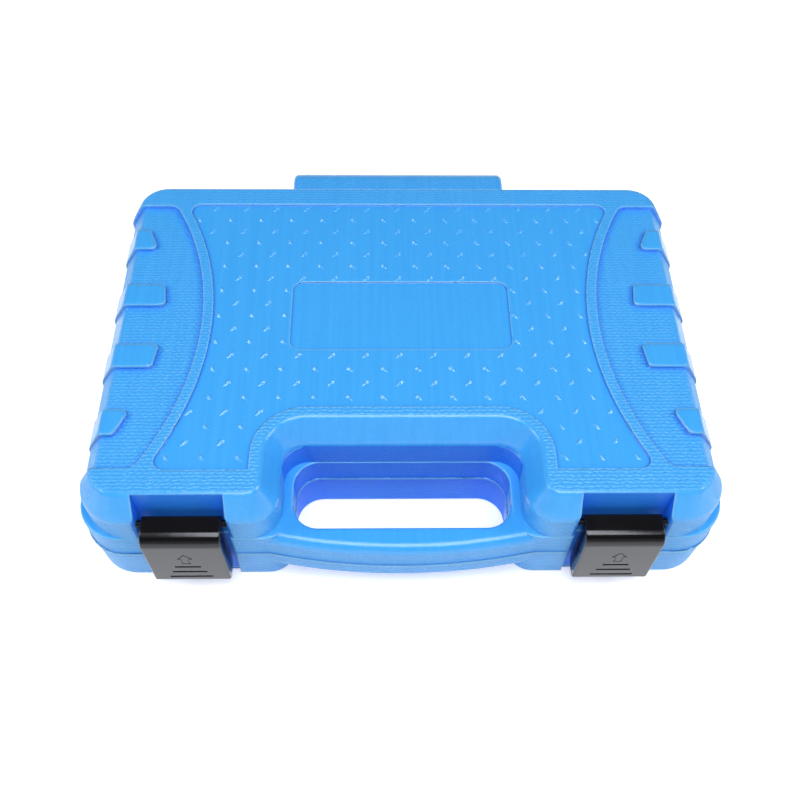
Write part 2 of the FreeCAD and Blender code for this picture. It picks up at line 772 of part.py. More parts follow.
for side, sign in (("left", -1), ("right", 1)):
    middle = sign * latch_x
    latch_start = middle - latch_half
    block = extrude("latch_block_" + side, rounded_outline([
        (flange_back, latch_top_at(flange_back), 0),
        (plate_front, front_top, sheet.latch_bend),
        (plate_front, sheet.latch_bottom, sheet.latch_round),
        (flange_back, sheet.latch_bottom, sheet.latch_tail_round),
    ]), "%r" % latch_start, "Sizes.latch_width", along_x=True)
    block = fillet("latch_soft_" + side, block, sheet.latch_edge, lambda edge: outer_side(edge, middle))
    hollow = extrude("latch_hollow_" + side, rounded_outline([
        (flange_back + over, latch_top_at(flange_back + over) - sheet.latch_wall, 0),
        (plate_back, front_top - sheet.latch_wall, sheet.latch_bend - sheet.latch_wall),
        (plate_back, hook_top, sheet.latch_tip_round),
        (hook_tip, hook_top, 0),
        (hook_tip, sheet.latch_bottom - over, 0),
        (flange_back + over, sheet.latch_bottom - over, 0),
    ]), "%r + Sizes.latch_flange" % latch_start, "Sizes.latch_width - 2 * Sizes.latch_flange", along_x=True)
    grooves = []
    for i in range(3):
        length = sheet.groove_length - i * sheet.groove_taper
        low = sheet.latch_bottom + sheet.groove_low + i * sheet.groove_pitch
        grooves.append(extrude("latch_groove_%s_%d" % (side, i + 1), polygon([
            (plate_front - over, low),
            (plate_front + sheet.groove_depth, low),
            (plate_front + sheet.groove_depth, low + sheet.groove_height),
            (plate_front - over, low + sheet.groove_height),
        ]), "%r" % (middle - length / 2), "%r" % length, along_x=True))
    heel = extrude("latch_heel_" + side, polygon([
        (latch_back, latch_top),
        (flange_back - over, latch_top_at(flange_back - over)),
        (flange_back - over, heel_low),
        (latch_back, heel_low),
    ]), "%r + Sizes.latch_edge" % latch_start, "Sizes.latch_width - 2 * Sizes.latch_edge", along_x=True)
    barrel = cylinder("latch_barrel_" + side, "Sizes.latch_barrel", "Sizes.latch_width",
                      latch_start, pivot_y, pivot_z, along_x=True)
    bore = cylinder("latch_bore_" + side, "Sizes.latch_pin_radius + Sizes.pin_clearance",
                    "Sizes.latch_width + 2 * Sizes.overrun", latch_start - over, pivot_y, pivot_z,
                    along_x=True)
    shell = cut("latch_shell_" + side, block, [hollow] + grooves)
    node(cut("latch_" + side, fuse("latch_joined_" + side, [shell, heel, barrel]), [bore]), "latch_" + side)
    node(cylinder("latch_pin_" + side, "Sizes.latch_pin_radius", "%r" % (pin_length - sheet.seat_gap),
                  middle - (pin_length - sheet.seat_gap) / 2, pivot_y, pivot_z, along_x=True),
         "latch_pin_" + side)

# Tools of the set, each a body of its own that is turned about its length and then laid in its pocket

def body(name):
    return document.addObject("PartDesign::Body", name)


def body_sketch(owner, name, role, outline, offset="0"):
    item = owner.newObject("Sketcher::SketchObject", owner.Name + "_" + name)
    plane = next(feature for feature in owner.Origin.OriginFeatures if feature.Role == role)
    item.AttachmentSupport = [(plane, "")]
    item.MapMode = "FlatFace"
    item.setExpression("AttachmentOffset.Base.z", offset)
    item.addGeometry(outline, False)
    return item


def revolve(owner, profile):
    """Turns a profile of (radius, height) points about the body's Z axis."""
    item = owner.newObject("PartDesign::Revolution", owner.Name + "_turned")
    item.Profile = body_sketch(owner, "profile", "XZ_Plane", polygon(profile))
    item.ReferenceAxis = (item.Profile[0], ["V_Axis"])
    item.Angle = 360
    return item


def pocket(owner, name, role, outline, depth, offset="0", upward=False):
    """Cuts an outline, and stops the build if it takes nothing away."""
    document.recompute()
    before = owner.Shape.Volume
    item = owner.newObject("PartDesign::Pocket", owner.Name + "_" + name)
    item.Profile = body_sketch(owner, name + "_outline", role, outline, offset)
    item.Reversed = upward
    item.setExpression("Length", depth)
    document.recompute()
    if owner.Shape.Volume > before - 1e-3:
        raise RuntimeError("%s cuts nothing" % item.Name)
    return item


def pad(owner, name, outline, length, offset):
    item = owner.newObject("PartDesign::Pad", owner.Name + "_" + name)
    item.Profile = body_sketch(owner, name + "_outline", "XY_Plane", outline, offset)
    item.setExpression("Length", length)
    return item


def lay(item, x, y, z):
    """Lays a body built along Z on its side, along X."""
    item.Placement = FreeCAD.Placement(Vector(x, y, z), FreeCAD.Rotation(Vector(0, 1, 0), 90))


cup_floor = sheet.shell_wall + sheet.tray_wall
drive_hole = sheet.drive_square + sheet.drive_play
drive_r = sheet.drive_end_radius
cups = []


def socket_radius(across_flats):
    return across_flats / math.sqrt(3) + sheet.socket_wall


def socket_body(name, across_flats, length, hex_depth):
    """A turned socket, with a square hole that opens into the six-sided one."""
    wide = socket_radius(across_flats)
    shoulder = sheet.drive_depth + abs(wide - drive_r) + sheet.shoulder_rise
    item = node(body(name), name)
    revolve(item, [
        (0, 0), (drive_r, 0), (drive_r, sheet.drive_depth), (wide, shoulder), (wide, length), (0, length),
    ])
    pocket(item, "drive", "XY_Plane", regular(4, drive_hole, 45), "%r" % (length - hex_depth), upward=True)
    pocket(item, "hex", "XY_Plane", regular(6, across_flats), "%r" % hex_depth, "%r" % length)
    return item


def add_cup(x, y, length, width, radius, floor):
    """A pocket in the tray, and the sharp-cornered cup under the deck that carries it."""
    wall = 2 * sheet.tray_wall
    inside = rectangle(length, width, x, y, radius)
    cups.append((inside, rectangle(length + wall, width + wall, x, y, 0), floor))


def row_place(share):
    return gap_back + share * (half_depth - gap_back)


large_row_y, small_row_y = row_place(sheet.large_row), row_place(sheet.small_row)
plug_start = half_width - sheet.plug_inset - sheet.plug_socket_length
row_start = sheet.row_inset - half_width
row_sizes = ((range(15, 20), large_row_y), (range(10, 15), small_row_y))
for sizes, row_y in row_sizes:
    socket_pitch = (plug_start - row_start) / len(sizes)
    for i, across_flats in enumerate(sizes):
        place = Vector(row_start + i * socket_pitch, row_y, cup_floor)
        item = socket_body("socket_%d_mm" % across_flats, across_flats, sheet.socket_height, sheet.hex_depth)
        item.Placement.Base = place
        hole = max(drive_r, socket_radius(across_flats)) + sheet.pocket_gap
        cups.append((circle(hole, place.x, place.y),
                     regular(8, 2 * (hole + sheet.tray_wall), 22.5, place), cup_floor))

# Spark plug sockets: long thin-walled sockets with a soft ring that grips the plug

plug_floor = 2 * sheet.drive_depth
slack = 2 * sheet.pocket_gap
for word, across_flats, row_y in (("small", sheet.small_plug_hex, small_row_y),
                                  ("large", sheet.large_plug_hex, large_row_y)):
    length = sheet.plug_socket_length
    item = socket_body("plug_socket_" + word, across_flats, length, length - plug_floor)
    wide = socket_radius(across_flats)
    axis_z = cup_floor + sheet.seat_gap + wide
    lay(item, plug_start, row_y, axis_z)
    ring = node(body("plug_insert_" + word), "plug_insert_" + word)
    ring_outer = across_flats / 2 - sheet.play
    ring_inner = ring_outer - sheet.plug_insert_wall
    revolve(ring, [
        (ring_inner, 0), (ring_outer, 0),
        (ring_outer, sheet.plug_insert_length), (ring_inner, sheet.plug_insert_length),
    ])
    lay(ring, plug_start + plug_floor + sheet.play, row_y, axis_z)
    add_cup(plug_start + length / 2, row_y, length + slack, 2 * wide + slack, sheet.pocket_round,
            cup_floor)

# Extension bars, each with a square end, and a square hole in the collar at the other end

bar_z = sheet.tray_top - sheet.bar_radius
bar_row_y = row_place(sheet.bar_row)
long_bar_start = sheet.long_bar_inset - half_width
short_bar_start = half_width - sheet.short_bar_inset - sheet.short_bar
for word, length, start in (("long", sheet.long_bar, long_bar_start),
                            ("short", sheet.short_bar, short_bar_start)):
    item = node(body("extension_" + word), "extension_" + word)
    shoulder = length - sheet.drive_depth
    revolve(item, [
        (0, 0), (drive_r, 0), (drive_r, sheet.bar_collar),
        (sheet.bar_radius, sheet.bar_collar + drive_r - sheet.bar_radius),
        (sheet.bar_radius, shoulder - sheet.bar_neck), (sheet.drive_square / 2, shoulder), (0, shoulder),
    ])
    pad(item, "square", regular(4, sheet.drive_square, 45), "Sizes.drive_depth", "%r" % shoulder)
    pocket(item, "drive", "XY_Plane", regular(4, drive_hole, 45), "Sizes.drive_depth", upward=True)
    lay(item, start, bar_row_y, bar_z)
    add_cup(start + length / 2, bar_row_y, length + slack, 2 * drive_r + slack, sheet.pocket_round,
            bar_z - drive_r - sheet.seat_gap)

# Ratchet: pear-shaped head with a toothed drive, rocking pawl, reversing lever and quick-release button

ratchet_x, ratchet_y = sheet.ratchet_inset - half_width, row_place(sheet.ratchet_row)
centre = (ratchet_x, ratchet_y)
pivot = (ratchet_x + sheet.pawl_offset, ratchet_y)
square_low = cup_floor + sheet.seat_gap
hub_low = square_low + sheet.drive_depth
head_low = hub_low + sheet.head_lift
head_high = head_low + sheet.head_height
bay_low = head_low + sheet.head_floor
cover_low = head_high - sheet.cover_plate
grip_z = head_low + sheet.head_height / 2
running = sheet.running_gap


def upright(name, outline, low, high, at):
    return extrude(name, outline, "%r" % low, "%r" % (high - low), at=at)


head = upright("ratchet_head", pear(sheet.head_radius, sheet.head_tail_radius, sheet.pawl_offset),
               head_low, head_high, centre)
shank_length = sheet.grip_start + sheet.grip_length - sheet.tang_stop - sheet.pawl_offset
shank = upright("ratchet_shank", rectangle(shank_length, sheet.shank_width, shank_length / 2, 0, 0),
                grip_z - sheet.shank_height / 2, grip_z + sheet.shank_height / 2, pivot)
cover_outline = pear(sheet.head_radius - sheet.cover_margin, sheet.head_tail_radius - sheet.cover_margin,
                     sheet.pawl_offset)
seat_margin = sheet.cover_margin - sheet.play
seat_outline = pear(sheet.head_radius - seat_margin, sheet.head_tail_radius - seat_margin, sheet.pawl_offset)
cover_seat = upright("ratchet_cover_seat", seat_outline, cover_low, head_high + over, centre)
gear_bay = upright("ratchet_gear_bay", circle(sheet.gear_bay), bay_low, head_high, centre)
pawl_bay = upright("ratchet_pawl_bay", circle(sheet.pawl_bay), bay_low, head_high, pivot)
hub_hole = upright("ratchet_hub_hole", circle(sheet.gear_hub + sheet.play), head_low - over,
                   bay_low + over, centre)
screw_low = cover_low - sheet.screw_depth
screw_spots = [(centre[0] + sheet.screw_x, centre[1] + sign * sheet.screw_y) for sign in (-1, 1)]
screw_holes = [
    upright("ratchet_screw_hole_%d" % i, circle(sheet.screw_radius + sheet.play), screw_low - over,
            head_high, spot) for i, spot in enumerate(screw_spots, start=1)
]
node(cut("ratchet_body", fuse("ratchet_forging", [head, shank]),
         [cover_seat, gear_bay, pawl_bay, hub_hole] + screw_holes), "ratchet_body")

cover_blank = upright("ratchet_cover_blank", cover_outline, cover_low, head_high, centre)
cover_holes = [
    upright("cover_hole_%d" % i, circle(radius + sheet.play), cover_low - over, head_high + over, spot)
    for i, (radius, spot) in enumerate([
        (sheet.gear_neck, centre),
        (sheet.lever_hub, pivot),
        (sheet.screw_radius, screw_spots[0]),
        (sheet.screw_radius, screw_spots[1]),
    ], start=1)
]
node(cut("ratchet_cover", cover_blank, cover_holes), "ratchet_cover")

screws = [
    upright("cover_screw_%d" % i, circle(sheet.screw_radius), screw_low, head_high, spot)
    for i, spot in enumerate(screw_spots, start=1)
]
cover_screws = document.addObject("Part::Compound", "cover_screws")
cover_screws.Links = screws
node(cover_screws, "cover_screws")

tooth_points = []
for i in range(int(sheet.gear_teeth)):
    for radius, share in ((sheet.gear_root, 0.0), (sheet.gear_tip, 0.5)):
        spot = polar(radius, 360.0 / sheet.gear_teeth * (i + share))
        tooth_points.append((spot.x, spot.y))
gear_low = bay_low + running
gear_high = cover_low - running
ball_z = square_low + sheet.drive_depth / 2
button_low = head_high - sheet.button_depth
spring_low = button_low - sheet.spring_length
stem_low = square_low + over
gear_parts = [
    upright("drive_teeth", polygon(tooth_points), gear_low, gear_high, centre),
    upright("drive_hub", circle(sheet.gear_hub), hub_low, gear_low, centre),
    upright("drive_neck", circle(sheet.gear_neck), gear_high, head_high, centre),
    upright("drive_square_end", regular(4, sheet.drive_square, 45), square_low, hub_low, centre),
]
ball_hole = cylinder("drive_ball_hole", "Sizes.ball_radius + Sizes.play", "Sizes.drive_square",
                     centre[0], centre[1], ball_z, along_x=True)
gear_bores = [
    upright("drive_button_bore", circle(sheet.button_radius + sheet.play), spring_low,
            head_high + over, centre),
    upright("drive_stem_bore", circle(sheet.button_stem + sheet.play), stem_low, head_high, centre),
    ball_hole,
]
node(cut("drive_gear", fuse("drive_gear_blank", gear_parts), gear_bores), "drive_gear")

drive_ball = document.addObject("Part::Sphere", "drive_ball")
drive_ball.setExpression("Radius", "Sizes.ball_radius")
drive_ball.Placement.Base = Vector(
    centre[0] + sheet.drive_square / 2 + sheet.ball_proud - sheet.ball_radius, centre[1], ball_z)
node(drive_ball, "drive_ball")

node(fuse("release_button", [
    upright("button_head", circle(sheet.button_radius), button_low, head_high + sheet.button_proud, centre),
    upright("button_stem", circle(sheet.button_stem), stem_low + sheet.button_travel + running,
            button_low, centre),
]), "release_button")
spring_outer = sheet.button_radius - sheet.spring_gap
spring_inner = spring_outer - sheet.spring_wall
spring_tube = upright("spring_outside", circle(spring_outer), spring_low + sheet.play,
                      button_low - sheet.play, centre)
spring_hole = upright("spring_inside", circle(spring_inner), spring_low, button_low, centre)
node(cut("release_spring", spring_tube, [spring_hole]), "release_spring")

paddle_low = head_high + sheet.lever_lift
paddle_outline = pear(sheet.lever_hub + sheet.lever_flare, sheet.lever_tip, sheet.lever_length)
paddle = upright("lever_paddle", paddle_outline, paddle_low, paddle_low + sheet.lever_height, pivot)
paddle.Base.Placement.Rotation = FreeCAD.Rotation(Vector(0, 0, 1), sheet.lever_swing)
node(fuse("reverse_lever", [
    paddle,
    upright("lever_collar", circle(sheet.lever_hub), cover_low, paddle_low, pivot),
    upright("lever_post", circle(sheet.lever_stem), bay_low + running, cover_low, pivot),
]), "reverse_lever")

rest_turn = FreeCAD.Rotation(Vector(0, 0, 1), sheet.pawl_tilt)
offset = Vector(sheet.pawl_offset, 0, 0)
toe_angle = sheet.pawl_toe_angle
flank_radius = sheet.gear_tip + sheet.pawl_toe_relief
engaged = [
    polar(flank_radius, toe_angle - sheet.pawl_toe_spread),
    polar(sheet.gear_root + sheet.pawl_toe_bite, toe_angle),
    polar(flank_radius, toe_angle + sheet.pawl_toe_spread),
    polar(sheet.gear_tip + sheet.pawl_back_rise, toe_angle + sheet.pawl_back_angle),
]
upper_toe = [rest_turn.inverted().multVec(point - offset) for point in engaged]
lower_toe = [Vector(point.x, -point.y, 0) for point in reversed(upper_toe)]
hub_reach = sheet.pawl_hub
pawl_points = lower_toe + [Vector(-hub_reach, 0, 0)] + upper_toe + [
    Vector(sheet.pawl_shoulder, hub_reach, 0), Vector(hub_reach, 0, 0),
    Vector(sheet.pawl_shoulder, -hub_reach, 0),
]
pawl_low, pawl_high = bay_low + running, cover_low - running
pawl_blank = upright("pawl_blank", polygon([(p.x, p.y) for p in pawl_points]), pawl_low, pawl_high, pivot)
pawl_blank.Base.Placement.Rotation = rest_turn
node(cut("pawl", pawl_blank, [upright("pawl_bore", circle(sheet.lever_stem + sheet.play),
                                      pawl_low - over, pawl_high + over, pivot)]), "pawl")

leaf_outer = sheet.pawl_bay - running
leaf_inner = leaf_outer - sheet.spring_wall
leaf_half = sheet.pawl_spring_half
node(upright("pawl_spring", [
    Part.Arc(polar(leaf_outer, -leaf_half), polar(leaf_outer, 0), polar(leaf_outer, leaf_half)),
    Part.LineSegment(polar(leaf_outer, leaf_half), polar(leaf_inner, leaf_half)),
    Part.Arc(polar(leaf_inner, leaf_half), polar(leaf_inner, 0), polar(leaf_inner, -leaf_half)),
    Part.LineSegment(polar(leaf_inner, -leaf_half), polar(leaf_outer, -leaf_half)),
], pawl_low, pawl_high, pivot), "pawl_spring")

grip = node(body("ratchet_grip"), "ratchet_grip")
grip_r, grip_l = sheet.grip_radius, sheet.grip_length
collar_r, collar_l = grip_r - sheet.grip_collar_step, sheet.grip_collar
revolve(grip, [
    (0, 0), (collar_r, 0), (collar_r, collar_l), (grip_r, 2 * collar_l),
    (grip_r - sheet.grip_waist, 2 * grip_l / 3), (grip_r, grip_l - collar_l),
    (grip_r - sheet.grip_end_step, grip_l), (0, grip_l),
])
tang_hole = rectangle(sheet.shank_height + sheet.play, sheet.shank_width + sheet.play, 0, 0, 0)
pocket(grip, "tang_hole", "XY_Plane", tang_hole, "Sizes.grip_length - Sizes.tang_stop + Sizes.play",
       upward=True)
lay(grip, ratchet_x + sheet.grip_start, ratchet_y, grip_z)

head_span = sheet.head_radius + sheet.pawl_offset + sheet.head_tail_radius
head_x = ratchet_x - sheet.head_radius + head_span / 2
head_room = 2 * sheet.head_clear
add_cup(head_x, ratchet_y, head_span + head_room, 2 * sheet.head_radius + head_room,
        2 * sheet.pocket_round, cup_floor)
trough_length = sheet.grip_start - sheet.pawl_offset + grip_l + slack
add_cup(pivot[0] + trough_length / 2, ratchet_y, trough_length, 2 * grip_r + slack, sheet.pocket_round,
        grip_z - grip_r - sheet.seat_gap)

# Tool tray: a thin formed deck with a skirt, and a cup under it for each tool

tray_inset = sheet.rim_flange + sheet.tray_gap
tray_block = extrude("tray_block", even_outline(tray_inset), "Sizes.shell_wall",
                     "Sizes.tray_top - Sizes.shell_wall")
tray_hollow = extrude("tray_hollow", even_outline(tray_inset + sheet.tray_wall),
                      "Sizes.shell_wall - Sizes.overrun",
                      "Sizes.tray_top - Sizes.tray_wall - Sizes.shell_wall + Sizes.overrun")
cup_walls = []
cup_holes = []
for i, (inside, outside, floor) in enumerate(cups, start=1):
    cup_walls.append(upright("tray_cup_%d" % i, outside, floor - sheet.tray_wall, sheet.tray_top, (0, 0)))
    cup_holes.append(upright("tray_pocket_%d" % i, inside, floor, sheet.tray_top + over, (0, 0)))
seat_gaps = [
    upright("tray_latch_gap_" + side, rectangle(
        2 * (seat_x + sheet.tray_gap), 2 * (seat_depth + sheet.tray_gap), sign * latch_x,
        -half_depth + sheet.seam_step, 0), sheet.shell_wall - over, sheet.tray_top + over, (0, 0))
    for side, sign in (("left", -1), ("right", 1))
]
tray_shell = cut("tray_shell", tray_block, [tray_hollow])
node(cut("tool_tray", fuse("tray_formed", [tray_shell] + cup_walls), cup_holes + seat_gaps), "tool_tray")

# Foam pad: a soft sheet glued under the lid's crown, over the tools

foam_inset = inner_side + sheet.lid_top_inset
foam_half = half_width - sheet.lid_side_step - foam_inset - sheet.foam_margin
foam_back = half_depth - sheet.lid_front_step - foam_inset - sheet.foam_margin
foam_front = gap_back + sheet.lid_front_step + foam_inset + sheet.foam_margin
node(extrude("lid_foam", rectangle(2 * foam_half, foam_back - foam_front, 0, (foam_back + foam_front) / 2,
                                   sheet.label_round),
             "%r - Sizes.foam_gap - Sizes.foam_thickness" % ceiling, "Sizes.foam_thickness"), "lid_foam")

# Export

document.recompute()
for item in document.Objects:
    if "Invalid" in item.State or "Error" in item.State:
        raise RuntimeError("%s failed: %s" % (item.Name, item.State))
for item in NODES:
    if item.Shape.isNull() or not item.Shape.isValid():
        raise RuntimeError("%s has no valid shape" % item.Label)
    item.Shape.exportStep("parts/%s.step" % item.Label)
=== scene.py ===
import json
import math

import bpy
from mathutils import Matrix, Vector

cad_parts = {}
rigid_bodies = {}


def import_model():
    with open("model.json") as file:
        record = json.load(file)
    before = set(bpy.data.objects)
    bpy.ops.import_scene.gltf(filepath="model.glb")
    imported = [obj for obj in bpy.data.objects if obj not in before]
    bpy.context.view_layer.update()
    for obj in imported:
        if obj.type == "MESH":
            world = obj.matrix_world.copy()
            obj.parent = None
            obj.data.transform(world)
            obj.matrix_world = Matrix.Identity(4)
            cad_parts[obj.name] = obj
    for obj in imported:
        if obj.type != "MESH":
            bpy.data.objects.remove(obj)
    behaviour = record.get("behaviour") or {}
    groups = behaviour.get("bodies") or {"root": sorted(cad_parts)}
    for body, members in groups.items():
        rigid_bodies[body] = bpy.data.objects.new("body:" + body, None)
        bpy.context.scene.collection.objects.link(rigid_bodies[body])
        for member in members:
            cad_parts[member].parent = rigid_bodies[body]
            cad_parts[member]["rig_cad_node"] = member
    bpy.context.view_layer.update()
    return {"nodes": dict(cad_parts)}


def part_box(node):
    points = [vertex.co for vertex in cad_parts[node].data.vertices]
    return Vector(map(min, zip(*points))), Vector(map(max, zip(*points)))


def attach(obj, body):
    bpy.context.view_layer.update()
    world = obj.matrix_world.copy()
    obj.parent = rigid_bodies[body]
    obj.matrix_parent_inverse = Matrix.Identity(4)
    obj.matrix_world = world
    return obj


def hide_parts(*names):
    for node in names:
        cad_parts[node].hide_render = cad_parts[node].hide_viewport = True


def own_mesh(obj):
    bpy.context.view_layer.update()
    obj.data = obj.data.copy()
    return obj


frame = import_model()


# Base: the deep half of the case, blow-moulded from blue polyethylene in one piece with its handle, latch
# seats and hinge knuckles. The mould leaves every edge a little round, a fine grain in rows on the walls
# and a smooth skin where a hand holds it. Its edges carry a painted highlight in paler blue, and its
# creases and the walls round its latches and gap carry painted shade in deeper blue.

MM = 0.001
WELD = 0.01 * MM
FLAT_WITHIN = math.radians(0.6)
FILLET_STEP = math.radians(40)


def only(piece):
    """Makes one object the only selected and the active one."""
    bpy.ops.object.select_all(action="DESELECT")
    piece.select_set(True)
    bpy.context.view_layer.objects.active = piece


def weld():
    """Opens the active piece in edit mode, all of it selected, and merges points that lie together."""
    bpy.ops.object.mode_set(mode="EDIT")
    bpy.ops.mesh.select_all(action="SELECT")
    bpy.ops.mesh.remove_doubles(threshold=WELD)


def merged_copy(node, name):
    """Copies a CAD solid and joins its triangles into whole faces."""
    only(frame["nodes"][node])
    bpy.ops.object.duplicate()
    piece = bpy.context.object
    piece.name = name
    del piece["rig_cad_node"]
    piece.parent = None
    weld()
    bpy.ops.mesh.customdata_custom_splitnormals_clear()
    bpy.ops.mesh.dissolve_limited(angle_limit=FLAT_WITHIN)
    bpy.ops.object.mode_set(mode="OBJECT")
    piece.data.materials.clear()
    return piece


def smooth_fillets(piece):
    """Shades the small facets of each fillet as one curve and keeps flat faces flat."""
    only(piece)
    bpy.ops.object.shade_smooth_by_angle(angle=FILLET_STEP)
    bpy.ops.object.modifier_add(type="WEIGHTED_NORMAL")
    piece.modifiers[-1].keep_sharp = True
    bpy.ops.object.modifier_apply(modifier=piece.modifiers[-1].name)


def new_finish(name, colour, roughness):
    """A plain surface with its colour and roughness set, for later lines to vary with nodes."""
    material = bpy.data.materials.new(name)
    material.use_nodes = True
    surface = material.node_tree.nodes["Principled BSDF"]
    surface.inputs["Base Color"].default_value = colour
    surface.inputs["Roughness"].default_value = roughness
    return material, surface


def feed(material, value, socket):
    """Sets a socket to a plain value, or links it to another node's."""
    if isinstance(value, bpy.types.NodeSocket):
        material.node_tree.links.new(value, socket)
    else:
        socket.default_value = value


def add_node(material, kind, **values):
    """Adds a shader node and feeds each value to its socket of that name."""
    made = material.node_tree.nodes.new(kind)
    for name, value in values.items():
        feed(material, value, made.inputs[name.replace("_", " ")])
    return made


def place(material, scale):
    """The piece's own coordinates, scaled along each axis."""
    coordinates = add_node(material, "ShaderNodeTexCoord")
    spot = add_node(material, "ShaderNodeMapping", Vector=coordinates.outputs["Object"], Scale=scale)
    return spot.outputs[0]


def noise(material, scale, detail):
    """A soft random pattern; scale says how fine it is along each axis."""
    cloud = add_node(material, "ShaderNodeTexNoise", Vector=place(material, scale), Scale=1.0,
                     Detail=detail)
    return cloud.outputs["Fac"]


def reckon(material, operation, first, second):
    """Works out one number from two, each a plain one or another node's."""
    worked = add_node(material, "ShaderNodeMath")
    worked.operation = operation
    feed(material, first, worked.inputs[0])
    feed(material, second, worked.inputs[1])
    return worked.outputs[0]


def blend(material, share, first, second):
    """Mixes two colours, each a plain one or another node's; a share of 1 is the second."""
    mixed = add_node(material, "ShaderNodeMix", Factor=share)
    mixed.data_type = "RGBA"
    feed(material, first, mixed.inputs[6])
    feed(material, second, mixed.inputs[7])
    return mixed.outputs[2]


def vary_roughness(material, surface, pattern, spread):
    """Lets a pattern vary the roughness by spread to either side of its plain value."""
    roughness = surface.inputs["Roughness"]
    middle = roughness.default_value
    varied = add_node(material, "ShaderNodeMapRange", Value=pattern, To_Min=middle - spread,
                      To_Max=middle + spread)
    feed(material, varied.outputs[0], roughness)


def rounded(material, radius):
    """The surface's direction with its sharp edges rounded."""
    edges = add_node(material, "ShaderNodeBevel", Radius=radius)
    edges.samples = 6
    return edges.outputs[0]


def relief(material, height, strength, depth, under=None):
    """The surface's direction with a pattern raised on it; under is the direction it starts from."""
    raised = add_node(material, "ShaderNodeBump", Height=height, Strength=strength, Distance=depth)
    if under is not None:
        feed(material, under, raised.inputs["Normal"])
    return raised.outputs[0]


def openness(material, reach, inside, closed_at, open_at):
    """How little of the piece lies within reach of a spot, from 0 to 1; inside looks into the wall."""
    around = add_node(material, "ShaderNodeAmbientOcclusion", Distance=reach)
    around.only_local = True
    around.inside = inside
    around.samples = 8
    spread = add_node(material, "ShaderNodeMapRange", Value=around.outputs["AO"], From_Min=closed_at,
                      From_Max=open_at)
    return spread.outputs[0]


GRAIN_PITCH = 3.2 * MM
GRAIN_ROW = 1.8 * MM
GRAIN_GAP = 0.9 * MM
GRAIN_WANDER = 1.7 * MM
WANDER_SCALE = 320
LEVEL_FROM = 0.6


def grain_place(material):
    """Flat coordinates for the grain: along and across on level faces, along and up on walls."""
    coordinates = add_node(material, "ShaderNodeTexCoord").outputs
    wander = add_node(material, "ShaderNodeTexNoise", Vector=coordinates["Object"], Scale=WANDER_SCALE,
                      Detail=1)
    shift = add_node(material, "ShaderNodeVectorMath")
    shift.operation = "MULTIPLY_ADD"
    feed(material, wander.outputs["Color"], shift.inputs[0])
    feed(material, (GRAIN_WANDER,) * 3, shift.inputs[1])
    feed(material, coordinates["Object"], shift.inputs[2])
    spot = add_node(material, "ShaderNodeSeparateXYZ", Vector=shift.outputs[0]).outputs
    along = reckon(material, "ADD", spot["X"], spot["Y"])
    level = add_node(material, "ShaderNodeCombineXYZ", X=spot["X"], Y=spot["Y"])
    upright = add_node(material, "ShaderNodeCombineXYZ", X=along, Y=spot["Z"])
    facing = add_node(material, "ShaderNodeSeparateXYZ", Vector=coordinates["Normal"])
    is_level = reckon(material, "GREATER_THAN", facing.outputs["Z"], LEVEL_FROM)
    chosen = add_node(material, "ShaderNodeMix", Factor=is_level)
    chosen.data_type = "VECTOR"
    feed(material, upright.outputs[0], chosen.inputs[4])
    feed(material, level.outputs[0], chosen.inputs[5])
    return chosen.outputs[1]


BLUE = (0.044, 0.365, 0.910, 1)
BLUE_PALE = (0.072, 0.445, 0.970, 1)
# The deepest blue is painted shade for creases and recesses; the palest is a painted highlight on edges.
BLUE_PAINTED_SHADE = (0.003, 0.120, 0.920, 1)
BLUE_PAINTED_HIGHLIGHT = (0.230, 0.640, 1.000, 1)
PALE_AT = 0.54
EDGE_REACH = 1.1 * MM
EDGE_ROUND = 1.8 * MM
PAINTED_SHADE_REACH = 4.5 * MM


def blue_finish(name, roughness, grain_depth=0, edge_round=EDGE_ROUND, reach=PAINTED_SHADE_REACH, open_at=0.95,
                shine=0.6):
    """Blue polyethylene: streaked by the mould, with painted shade in deeper blue where its own walls stand
    within reach, a painted highlight in paler blue on its edges, and grained where grain_depth isn't zero."""
    material, surface = new_finish(name, BLUE, roughness)
    surface.inputs["Specular IOR Level"].default_value = shine
    streaks = noise(material, scale=(420, 14, 90), detail=3)
    skin = noise(material, scale=(1100, 1100, 1100), detail=2)
    mottle = add_node(material, "ShaderNodeMapRange", Value=reckon(material, "MULTIPLY", streaks, skin),
                      From_Max=PALE_AT)
    moulded = blend(material, mottle.outputs[0], BLUE, BLUE_PALE)
    # Painted shade: the colour turns deeper blue where the piece's own walls stand within reach.
    unshaded = openness(material, reach, inside=False, closed_at=0.25, open_at=open_at)
    with_painted_shade = blend(material, unshaded, BLUE_PAINTED_SHADE, moulded)
    # Painted highlight: the colour turns paler blue on convex edges.
    away_from_highlight = openness(material, EDGE_REACH, inside=True, closed_at=0.45, open_at=0.92)
    with_painted_highlight = blend(material, away_from_highlight, BLUE_PAINTED_HIGHLIGHT, with_painted_shade)
    feed(material, with_painted_highlight, surface.inputs["Base Color"])
    vary_roughness(material, surface, streaks, spread=0.03)
    facing = relief(material, skin, strength=0.6, depth=0.08 * MM, under=rounded(material, edge_round))
    if grain_depth:
        dashes = add_node(material, "ShaderNodeTexBrick", Vector=grain_place(material), Scale=1.0,
                          Brick_Width=GRAIN_PITCH, Row_Height=GRAIN_ROW, Mortar_Size=GRAIN_GAP,
                          Mortar_Smooth=1.0)
        facing = relief(material, dashes.outputs["Fac"], strength=1.0, depth=grain_depth, under=facing)
        facing.node.invert = True
    feed(material, facing, surface.inputs["Normal"])
    return material


# Walls round the latches and facing the handle's gap get painted shade: deeper blue even where they are
# open.
BAY_SHADE = {"reach": 18 * MM, "open_at": 2.0, "shine": 0.25}

